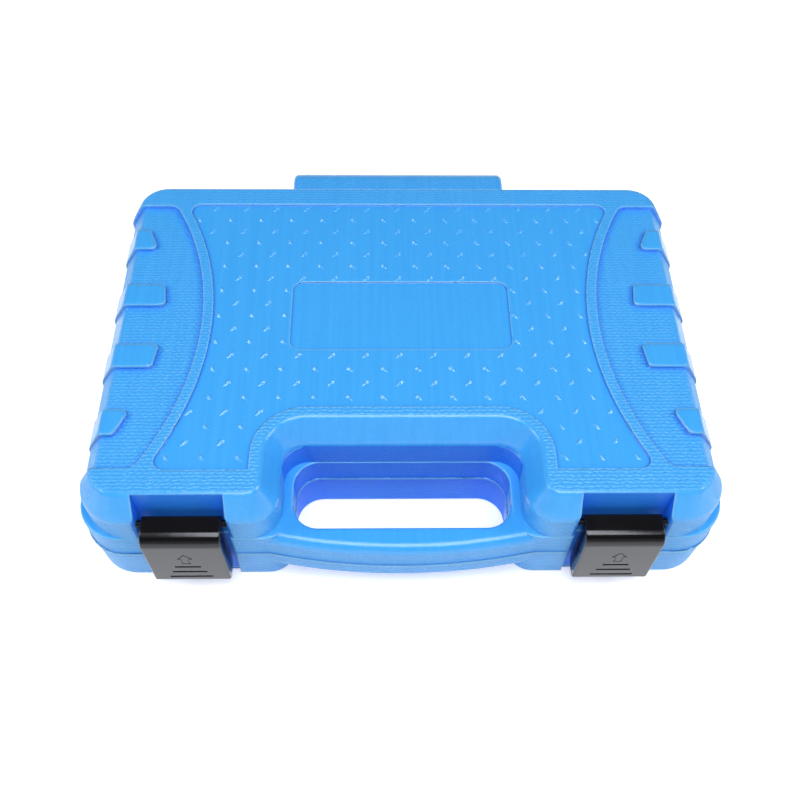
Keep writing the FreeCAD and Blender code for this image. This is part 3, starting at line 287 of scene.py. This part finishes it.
blue_grained = blue_finish("blue_grained", roughness=0.36, grain_depth=0.22 * MM)
blue_smooth = blue_finish("blue_smooth", roughness=0.17)
bay_smooth = blue_finish("bay_smooth", roughness=0.40, **BAY_SHADE)
bay_grained = blue_finish("bay_grained", roughness=0.48, grain_depth=0.15 * MM, **BAY_SHADE)


def finish_faces(piece, finishes, choose):
    """Gives each face the finish that choose names for it."""
    for finish in finishes:
        piece.data.materials.append(finish)
    for face in piece.data.polygons:
        face.material_index = finishes.index(choose(face))


NOTCH_IN = -80 * MM
NOTCH_MARGIN = 4.2 * MM
FRONT_IN = -45 * MM
STEEP = 0.12
GAP_FACING = 0.1

latch_boxes = [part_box("latch_left"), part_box("latch_right")]


def bay_finish(piece, face, half):
    """The finish, with painted shade in deeper blue, of an upright wall round a latch, or of one that faces
    the handle's gap within half of the middle, where light comes only off other blue walls; None for other
    faces."""
    corners = [piece.data.vertices[i].co for i in face.vertices]
    if abs(face.normal.z) > STEEP:
        return None
    in_gap = all(abs(p.x) < half and NOTCH_IN < p.y < FRONT_IN for p in corners)
    if in_gap and face.normal.y < GAP_FACING:
        return bay_grained
    for low, high in latch_boxes:
        left, right = low.x - NOTCH_MARGIN, high.x + NOTCH_MARGIN
        if all(left < p.x < right and p.y < NOTCH_IN for p in corners):
            return bay_smooth
    return None


RIM_TOP = 40.9 * MM
HANDLE_BACK = -84 * MM
HANDLE_HALF = 62 * MM
HANDLE_STEEP = 0.15
GAP_HALF = 58 * MM


def base_face(face):
    """Smooth on the rim's and the handle's top and on the handle's rounded edges; grained elsewhere."""
    # Walls in the bays take a finish with painted shade.
    shade_finish = bay_finish(base, face, GAP_HALF)
    if shade_finish:
        return shade_finish
    on_handle = face.center.y < HANDLE_BACK and abs(face.center.x) < HANDLE_HALF
    smooth = face.center.z > RIM_TOP or (on_handle and abs(face.normal.z) > HANDLE_STEEP)
    return blue_smooth if smooth else blue_grained


SEAT_FOOT = 3.4 * MM
FLOOR_TOP = 2.4 * MM

# The wall behind each latch is brought down to the case's floor.
base = merged_copy("base_shell", "moulded_base")
for vertex in base.data.vertices:
    if abs(vertex.co.z - SEAT_FOOT) < WELD and vertex.co.y < NOTCH_IN:
        vertex.co.z = FLOOR_TOP
weld()
bpy.ops.object.mode_set(mode="OBJECT")
smooth_fillets(base)
finish_faces(base, [blue_grained, blue_smooth, bay_grained, bay_smooth], base_face)
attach(base, "base")
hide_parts("base_shell")


# Tray: a sheet of black plastic formed over a mould, so it has a fine pebbled skin and soft light on its
# ribs. It lies loose in the base, and its cups hold the tools.

TRAY_BLACK = (0.016, 0.016, 0.018, 1)


def cells(material, scale, randomness=1.0):
    """A pattern of small rounded cells, deepest in the middle of each."""
    pattern = add_node(material, "ShaderNodeTexVoronoi", Vector=place(material, scale), Scale=1.0,
                       Randomness=randomness)
    return pattern.outputs["Distance"]


def dress(node, material):
    """Gives a CAD node its finish."""
    shell = frame["nodes"][node].data
    shell.materials.clear()
    shell.materials.append(material)


tray_black, tray_surface = new_finish("tray_black", TRAY_BLACK, roughness=0.5)
pebbles = cells(tray_black, scale=(1300, 1300, 1300))
feed(tray_black, relief(tray_black, pebbles, strength=0.5, depth=0.08 * MM), tray_surface.inputs["Normal"])
dress("tool_tray", tray_black)


# Sockets: ten sizes, forged from chrome-vanadium steel, turned, polished and satin-chromed. The lathe
# leaves fine rings round each one. They stand in the tray's cups.

CHROME = (0.80, 0.81, 0.82, 1)
RING_SCALE = 9000
PLAIN_SCALE = 60
SOCKET_SIZES = range(10, 20)


def chrome_finish(name, ring_axis):
    """Satin chrome with fine turning rings across the given axis."""
    material, surface = new_finish(name, CHROME, roughness=0.27)
    surface.inputs["Metallic"].default_value = 1.0
    ring_scale = [PLAIN_SCALE] * 3
    ring_scale[ring_axis] = RING_SCALE
    rings = noise(material, ring_scale, detail=1)
    wear = noise(material, scale=(240, 240, 240), detail=4)
    vary_roughness(material, surface, wear, spread=0.04)
    feed(material, relief(material, rings, strength=0.25, depth=0.02 * MM), surface.inputs["Normal"])
    return material


chrome_upright = chrome_finish("chrome_upright", ring_axis=2)
chrome_lying = chrome_finish("chrome_lying", ring_axis=0)
for size in SOCKET_SIZES:
    dress("socket_%d_mm" % size, chrome_upright)


# Spark plug sockets: long sockets of the same chromed steel, which lie on their sides in the tray. Each
# holds a soft ring of black rubber, pushed in, that grips the plug.

RUBBER_BLACK = (0.012, 0.012, 0.012, 1)

rubber, rubber_surface = new_finish("soft_rubber", RUBBER_BLACK, roughness=0.75)
bloom = noise(rubber, scale=(700, 700, 700), detail=3)
feed(rubber, relief(rubber, bloom, strength=0.4, depth=0.1 * MM), rubber_surface.inputs["Normal"])
for word in ("small", "large"):
    dress("plug_socket_" + word, chrome_lying)
    dress("plug_insert_" + word, rubber)


# Extension bars: a long and a short steel bar with a square end, turned and chromed like the sockets.
# They lie in the tray.

for word in ("long", "short"):
    dress("extension_" + word, chrome_lying)


# Ratchet: a forged and chromed head and shank, with a moulded black grip. The works under its screwed cover
# are blackened steel. The coil spring under the button, which in the real ratchet shortens as the button is
# pressed, is copied here as one piece carried with the drive.

WORKS_BLACK = (0.10, 0.10, 0.105, 1)
GRIP_BLACK = (0.015, 0.015, 0.016, 1)

blackened, blackened_surface = new_finish("blackened_steel", WORKS_BLACK, roughness=0.39)
blackened_surface.inputs["Metallic"].default_value = 1.0
oil = noise(blackened, scale=(500, 500, 500), detail=4)
vary_roughness(blackened, blackened_surface, oil, spread=0.11)
grip_black, grip_surface = new_finish("grip_black", GRIP_BLACK, roughness=0.55)
dimples = cells(grip_black, scale=(420, 800, 800), randomness=0.2)
feed(grip_black, relief(grip_black, dimples, strength=0.7, depth=0.25 * MM), grip_surface.inputs["Normal"])
for node in ("ratchet_body", "ratchet_cover", "release_button"):
    dress(node, chrome_lying)
for node in ("cover_screws", "drive_gear", "drive_ball", "reverse_lever", "pawl", "pawl_spring"):
    dress(node, blackened)
dress("ratchet_grip", grip_black)

button_spring = merged_copy("release_spring", "button_spring")
smooth_fillets(button_spring)
button_spring.data.materials.append(blackened)
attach(button_spring, "drive")
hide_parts("release_spring")
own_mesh(button_spring)


# Lid: the shallow half, moulded like the base and hung on the hinge pin. Its border and sunken sides are
# grained; the panel, the label field, the pads at the sides and the sloped edge are smooth.

PANEL_TOP = 69.15 * MM
PANEL_LOW = 68.25 * MM
SIDE_IN = 100 * MM
SIDE_REACH = 92 * MM
SIDE_LOW = 45 * MM
BAY_HALF = 68.5 * MM
PAD_SPANS = ((11.9 * MM, 25.7 * MM), (49.5 * MM, 63.3 * MM))
LEVEL = 0.99

side_grained = blue_finish("side_grained", roughness=0.38, grain_depth=0.18 * MM, edge_round=2.4 * MM)
pad_smooth = blue_finish("pad_smooth", roughness=0.14, edge_round=3.2 * MM)


def lid_face(face):
    """Smooth on the panel, the label field, the pads and every slope; grained elsewhere, and more softly
    at the sides."""
    corners = [lid.data.vertices[i].co for i in face.vertices]
    if face.center.z > SIDE_LOW and all(abs(p.x) > SIDE_IN and abs(p.y) < SIDE_REACH for p in corners):
        on_pad = any(all(low < abs(p.y) < high for p in corners) for low, high in PAD_SPANS)
        return pad_smooth if on_pad else side_grained
    # Walls in the bays take a finish with painted shade.
    shade_finish = bay_finish(lid, face, BAY_HALF)
    if shade_finish:
        return shade_finish
    if face.normal.z > LEVEL:
        return blue_smooth if PANEL_LOW < face.center.z < PANEL_TOP else blue_grained
    return blue_smooth if face.normal.z > STEEP else blue_grained


lid_finishes = [blue_grained, blue_smooth, bay_grained, bay_smooth, side_grained, pad_smooth]
lid = merged_copy("lid_shell", "moulded_lid")
smooth_fillets(lid)
finish_faces(lid, lid_finishes, lid_face)
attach(lid, "lid")
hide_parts("lid_shell")


# Tread: low pointed ribs that the mould raises on the lid's panel, in the same blue plastic. Their rows
# lean to the left and right by turns, and use has rubbed them smooth.

TREAD_PITCH = 16.2 * MM
TREAD_LENGTH = 6.2 * MM
TREAD_WIDTH = 2.5 * MM
TREAD_HEIGHT = 0.85 * MM
TREAD_LEAN = math.radians(47)
TREAD_SHIFT = Vector((-0.7 * MM, 38.6 * MM))
TREAD_ROWS = range(-16, 6)
TREAD_COLUMNS = range(-9, 10)
RIB_CREST = 0.12
RIB_TAPER = 0.72
RIB_STEP = math.radians(30)
PANEL_FLOOR = 69.1 * MM
PANEL_HALF = 81.5 * MM
SIDE_CENTRE = 257.5 * MM
SIDE_RADIUS = 165 * MM
BAY_BACK = -48.4 * MM
BAY_ROUND = 24.5 * MM
LABEL_HALF = Vector((54 * MM, 21.2 * MM))
LABEL_Y = 6.3 * MM
CLEAR = 1.6 * MM


def on_tread_field(x, y):
    """True inside the panel, clear of the label field and of the bay behind the handle."""
    if abs(y) > PANEL_HALF - CLEAR:
        return False
    if math.hypot(abs(x) - SIDE_CENTRE, y) < SIDE_RADIUS + CLEAR:
        return False
    if abs(x) < LABEL_HALF.x + CLEAR and abs(y - LABEL_Y) < LABEL_HALF.y + CLEAR:
        return False
    if abs(x) < BAY_HALF + CLEAR and y < BAY_BACK + CLEAR:
        corner = Vector((BAY_HALF - BAY_ROUND, BAY_BACK - BAY_ROUND))
        beyond = Vector((max(abs(x) - corner.x, 0), max(y - corner.y, 0)))
        return beyond.length > BAY_ROUND + CLEAR
    return True


def keep_selected(piece, chosen):
    """Leaves the active piece in edit mode with only the faces selected that chosen says yes to."""
    bpy.ops.object.mode_set(mode="EDIT")
    bpy.ops.mesh.select_all(action="DESELECT")
    bpy.ops.object.mode_set(mode="OBJECT")
    for face in piece.data.polygons:
        face.select = chosen(face)
    bpy.ops.object.mode_set(mode="EDIT")


# One rib is an eight-sided cone, blunt at the top; its corner points move in, so that its ends are pointed.
bpy.ops.object.select_all(action="DESELECT")
bpy.ops.mesh.primitive_cone_add(vertices=8, radius1=1, radius2=RIB_CREST, depth=1, end_fill_type="NGON",
                                location=(0, 0, 0.5))
rib = bpy.context.object
bpy.ops.object.transform_apply(location=True)
for vertex in rib.data.vertices:
    if 0.5 < abs(vertex.co.x) < 0.9:
        vertex.co.y *= RIB_TAPER
rib.scale = (TREAD_LENGTH / 2, TREAD_WIDTH / 2, TREAD_HEIGHT)
bpy.ops.object.transform_apply(scale=True)
keep_selected(rib, lambda face: face.normal.z < -LEVEL)
bpy.ops.mesh.delete(type="ONLY_FACE")
bpy.ops.object.mode_set(mode="OBJECT")
bpy.ops.object.shade_smooth_by_angle(angle=RIB_STEP)

tread = []
for row in TREAD_ROWS:
    for column in TREAD_COLUMNS:
        leaning = row % 2
        x = (column + 0.5 * leaning) * TREAD_PITCH + TREAD_SHIFT.x
        y = 0.5 * (row + 1) * TREAD_PITCH + TREAD_SHIFT.y
        if not on_tread_field(x, y):
            continue
        only(rib)
        bpy.ops.object.duplicate()
        copy = bpy.context.object
        copy.location = (x, y, PANEL_FLOOR)
        copy.rotation_euler.z = -TREAD_LEAN if leaning else TREAD_LEAN
        tread.append(copy)
bpy.ops.object.select_all(action="DESELECT")
for copy in tread:
    copy.select_set(True)
bpy.context.view_layer.objects.active = tread[0]
bpy.ops.object.join()
lid_tread = bpy.context.object
lid_tread.name = "lid_tread"
bpy.ops.object.transform_apply(location=True, rotation=True)
bpy.data.objects.remove(rib)
tread_rubbed = blue_finish("tread_rubbed", roughness=0.15, edge_round=0.3 * MM)
lid_tread.data.materials.append(tread_rubbed)
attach(lid_tread, "lid")


# Lid pad: a slab of charcoal foam with rows of soft peaks cut into it, which press on the tools. It is
# glued under the lid.

FOAM_GREY = (0.030, 0.030, 0.033, 1)
FOAM_DARK = (0.014, 0.014, 0.016, 1)
FOAM_LIGHT = (0.060, 0.060, 0.064, 1)
PAD_GAP = 0.6 * MM
PAD_ROUND = 3.0 * MM
PEAK_PITCH = 22 * MM
PEAK_DEPTH = 4.2 * MM
PEAK_CUTS = 40
EDGE_FALL = Vector((8, 5))

pad_low, pad_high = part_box("lid_foam")
pad_low, pad_high = pad_low + Vector((PAD_GAP,) * 3), pad_high - Vector((PAD_GAP, PAD_GAP, 0))
pad_size = pad_high - pad_low
pad_middle = (pad_high + pad_low) / 2
bpy.ops.object.select_all(action="DESELECT")
bpy.ops.mesh.primitive_cube_add(size=1, location=pad_middle)
lid_pad = bpy.context.object
lid_pad.name = "lid_pad"
lid_pad.scale = pad_size
bpy.ops.object.transform_apply(location=True, scale=True)
bpy.ops.object.mode_set(mode="EDIT")
bpy.ops.mesh.select_all(action="SELECT")
bpy.ops.mesh.bevel(offset=PAD_ROUND, segments=3, affect="EDGES")
bpy.ops.object.mode_set(mode="OBJECT")
keep_selected(lid_pad, lambda face: face.normal.z < -LEVEL)
bpy.ops.mesh.subdivide(number_cuts=PEAK_CUTS)
bpy.ops.object.mode_set(mode="OBJECT")
for vertex in lid_pad.data.vertices:
    if vertex.co.z < pad_low.z + WELD:
        away = vertex.co - pad_middle
        inset_x = EDGE_FALL.x * (0.5 - abs(away.x) / pad_size.x)
        inset_y = EDGE_FALL.y * (0.5 - abs(away.y) / pad_size.y)
        wave = math.cos(math.tau * away.x / PEAK_PITCH) * math.cos(math.tau * away.y / PEAK_PITCH)
        vertex.co.z += PEAK_DEPTH * (0.5 - 0.5 * wave * max(min(1, inset_x, inset_y), 0))
bpy.ops.object.shade_smooth()
foam, foam_surface = new_finish("charcoal_foam", FOAM_GREY, roughness=0.9)
pores = cells(foam, scale=(1500, 1500, 1500))
feed(foam, blend(foam, pores, FOAM_DARK, FOAM_LIGHT), foam_surface.inputs["Base Color"])
feed(foam, relief(foam, pores, strength=0.9, depth=0.3 * MM), foam_surface.inputs["Normal"])
lid_pad.data.materials.append(foam)
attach(lid_pad, "lid")
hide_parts("lid_foam")


# Pins: lengths of drawn steel rod, blackened against rust. One is pushed through the hinge and one through
# each latch.

ROD_BLACK = (0.020, 0.020, 0.023, 1)

drawn_steel, drawn_surface = new_finish("drawn_steel", ROD_BLACK, roughness=0.48)
drawn_surface.inputs["Metallic"].default_value = 1.0
drawing = noise(drawn_steel, scale=(20, 4000, 4000), detail=2)
drawn_facing = relief(drawn_steel, drawing, strength=0.3, depth=0.03 * MM)
feed(drawn_steel, drawn_facing, drawn_surface.inputs["Normal"])
for node in ("hinge_pin", "latch_pin_left", "latch_pin_right"):
    dress(node, drawn_steel)


# Latches: glossy black shells, injection-moulded, each hung on its pin and hooked under the base's catch.
# An arrow cut into the plate in outline shows which way to lift.

LATCH_BLACK = (0.0045, 0.0045, 0.0055, 1)
LATCH_GLINT = (0.88, 0.90, 1.0, 1)
LATCH_SHINE = 0.65
LATCH_EDGE = 0.25 * MM
ARROW_LOW = 32.4 * MM
ARROW_EAVES = 37.4 * MM
ARROW_TIP = 42.2 * MM
ARROW_HALF = 3.7 * MM
ARROW_STEM = 1.9 * MM
ARROW_LINE = 0.55 * MM
ARROW_DEPTH = 0.3 * MM
ARROW_WELD = 0.001 * MM
ARROW_FLAT = math.radians(1)

latch_black, latch_surface = new_finish("latch_black", LATCH_BLACK, roughness=0.14)
latch_surface.inputs["Specular Tint"].default_value = LATCH_GLINT
latch_surface.inputs["Specular IOR Level"].default_value = LATCH_SHINE
flow = noise(latch_black, scale=(120, 120, 40), detail=3)
vary_roughness(latch_black, latch_surface, flow, spread=0.06)
latch_rounded = rounded(latch_black, LATCH_EDGE)
latch_facing = relief(latch_black, flow, strength=0.25, depth=0.15 * MM, under=latch_rounded)
feed(latch_black, latch_facing, latch_surface.inputs["Normal"])

for side in ("left", "right"):
    low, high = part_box("latch_" + side)
    middle_x = (low.x + high.x) / 2
    latch = merged_copy("latch_" + side, "moulded_latch_" + side)

    bpy.ops.object.select_all(action="DESELECT")
    bpy.ops.mesh.primitive_plane_add(size=2, location=(middle_x, low.y - ARROW_DEPTH, 0),
                                     rotation=(math.pi / 2, 0, 0))
    arrow = bpy.context.object
    bpy.ops.object.transform_apply(location=True, rotation=True)
    for vertex in arrow.data.vertices:
        vertex.co.x = middle_x + math.copysign(ARROW_STEM, vertex.co.x - middle_x)
        vertex.co.z = ARROW_EAVES if vertex.co.z > 0 else ARROW_LOW
    bpy.ops.object.mode_set(mode="EDIT")
    bpy.ops.mesh.select_mode(type="EDGE")
    bpy.ops.mesh.select_all(action="DESELECT")
    bpy.ops.object.mode_set(mode="OBJECT")
    for edge in arrow.data.edges:
        edge.select = all(arrow.data.vertices[i].co.z > ARROW_EAVES - WELD for i in edge.vertices)
    bpy.ops.object.mode_set(mode="EDIT")
    bpy.ops.mesh.extrude_region_move(TRANSFORM_OT_translate={"value": (0, 0, WELD)})
    bpy.ops.transform.resize(value=(ARROW_HALF / ARROW_STEM, 1, 1),
                             center_override=(middle_x, low.y, ARROW_EAVES))
    bpy.ops.mesh.extrude_region_move(TRANSFORM_OT_translate={"value": (0, 0, ARROW_TIP - ARROW_EAVES)})
    bpy.ops.mesh.merge(type="CENTER")
    bpy.ops.mesh.select_all(action="SELECT")
    bpy.ops.mesh.remove_doubles(threshold=ARROW_WELD)
    bpy.ops.mesh.dissolve_limited(angle_limit=ARROW_FLAT)
    bpy.ops.mesh.select_mode(type="FACE")
    bpy.ops.mesh.select_all(action="SELECT")
    bpy.ops.mesh.inset(thickness=ARROW_LINE)
    bpy.ops.mesh.delete(type="FACE")
    bpy.ops.mesh.select_all(action="SELECT")
    bpy.ops.mesh.extrude_region_move(TRANSFORM_OT_translate={"value": (0, 2 * ARROW_DEPTH, 0)})
    bpy.ops.mesh.select_all(action="SELECT")
    bpy.ops.mesh.normals_make_consistent()
    bpy.ops.object.mode_set(mode="OBJECT")
    only(latch)
    engraving = latch.modifiers.new("engraving", "BOOLEAN")
    engraving.operation = "DIFFERENCE"
    engraving.solver = "EXACT"
    engraving.object = arrow
    bpy.ops.object.modifier_apply(modifier="engraving")
    bpy.data.objects.remove(arrow)
    smooth_fillets(latch)
    latch.data.materials.append(latch_black)
    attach(latch, side + "_latch")
    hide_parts("latch_" + side)


# Studio: a white paper floor that glows where the camera or a mirror sees it, a wide soft lamp overhead
# and a little to the front, one at each side, a sky that is brightest low down, and the camera above the
# handle.

PAPER_WHITE = (0.93, 0.93, 0.93, 1)
SKY_WHITE = (1, 1, 1, 1)
FLOOR_SIZE = 6.0
FLOOR_GLOW = 0.40
SKY_LOW = 0.60
SKY_HIGH = 0.05
SKY_TOP = 0.5
LAMPS = (
    ("overhead_lamp", Vector((0.03, -0.39, 1.05)), 0.7, 0.60, 8.1),
    ("left_lamp", Vector((-0.84, -0.15, 0.73)), 0.42, 0.42, 3.7),
    ("right_lamp", Vector((0.84, -0.15, 0.73)), 0.42, 0.42, 3.7),
)
SENSOR_WIDTH = 36
PICTURE_PIXELS = 800
FOCAL_PIXELS = 923.93
CAMERA_PLACE = Vector((-0.0089, -0.2818, 0.4267))
CAMERA_TURN = math.radians(-1.90)
CAMERA_DIP = math.radians(56.40)
CAMERA_ROLL = math.radians(1.47)

bpy.ops.object.select_all(action="DESELECT")
bpy.ops.mesh.primitive_plane_add(size=FLOOR_SIZE, location=(0, 0, 0))
floor = bpy.context.object
floor.name = "floor"
paper, paper_surface = new_finish("white_paper", PAPER_WHITE, roughness=0.9)
paper_surface.inputs["Specular IOR Level"].default_value = 0.0
path = add_node(paper, "ShaderNodeLightPath").outputs
mirrored = reckon(paper, "MAXIMUM", path["Is Glossy Ray"], path["Is Transmission Ray"])
seen = reckon(paper, "MAXIMUM", path["Is Camera Ray"], mirrored)
glow = add_node(paper, "ShaderNodeEmission", Strength=FLOOR_GLOW)
lit = add_node(paper, "ShaderNodeAddShader")
feed(paper, paper_surface.outputs[0], lit.inputs[0])
feed(paper, glow.outputs[0], lit.inputs[1])
shown = add_node(paper, "ShaderNodeMixShader", Fac=seen)
feed(paper, paper_surface.outputs[0], shown.inputs[1])
feed(paper, lit.outputs[0], shown.inputs[2])
feed(paper, shown.outputs[0], paper.node_tree.nodes["Material Output"].inputs["Surface"])
floor.data.materials.append(paper)

for name, spot, width, depth, power in LAMPS:
    lamp_data = bpy.data.lights.new(name, "AREA")
    lamp_data.shape = "RECTANGLE"
    lamp_data.size = width
    lamp_data.size_y = depth
    lamp_data.energy = power
    lamp = bpy.data.objects.new(name, lamp_data)
    lamp.location = spot
    lamp.rotation_euler = (-spot).to_track_quat("-Z", "Y").to_euler()
    bpy.context.scene.collection.objects.link(lamp)

world = bpy.data.worlds.new("studio")
world.use_nodes = True
direction = add_node(world, "ShaderNodeTexCoord")
height = add_node(world, "ShaderNodeSeparateXYZ", Vector=direction.outputs["Generated"])
fall = add_node(world, "ShaderNodeMapRange", Value=height.outputs["Z"], From_Max=SKY_TOP, To_Min=SKY_LOW,
                To_Max=SKY_HIGH)
sky = world.node_tree.nodes["Background"]
sky.inputs["Color"].default_value = SKY_WHITE
feed(world, fall.outputs[0], sky.inputs["Strength"])
bpy.context.scene.world = world
bpy.context.scene.view_settings.view_transform = "Standard"

camera_data = bpy.data.cameras.new("camera")
camera_data.sensor_width = SENSOR_WIDTH
camera_data.lens = SENSOR_WIDTH * FOCAL_PIXELS / PICTURE_PIXELS
camera = bpy.data.objects.new("camera", camera_data)
camera_turn = (
    Matrix.Rotation(CAMERA_TURN, 4, "Z")
    @ Matrix.Rotation(math.pi / 2 - CAMERA_DIP, 4, "X")
    @ Matrix.Rotation(CAMERA_ROLL, 4, "Z")
)
camera.matrix_world = Matrix.Translation(CAMERA_PLACE) @ camera_turn
bpy.context.scene.collection.objects.link(camera)
bpy.context.scene.camera = camera
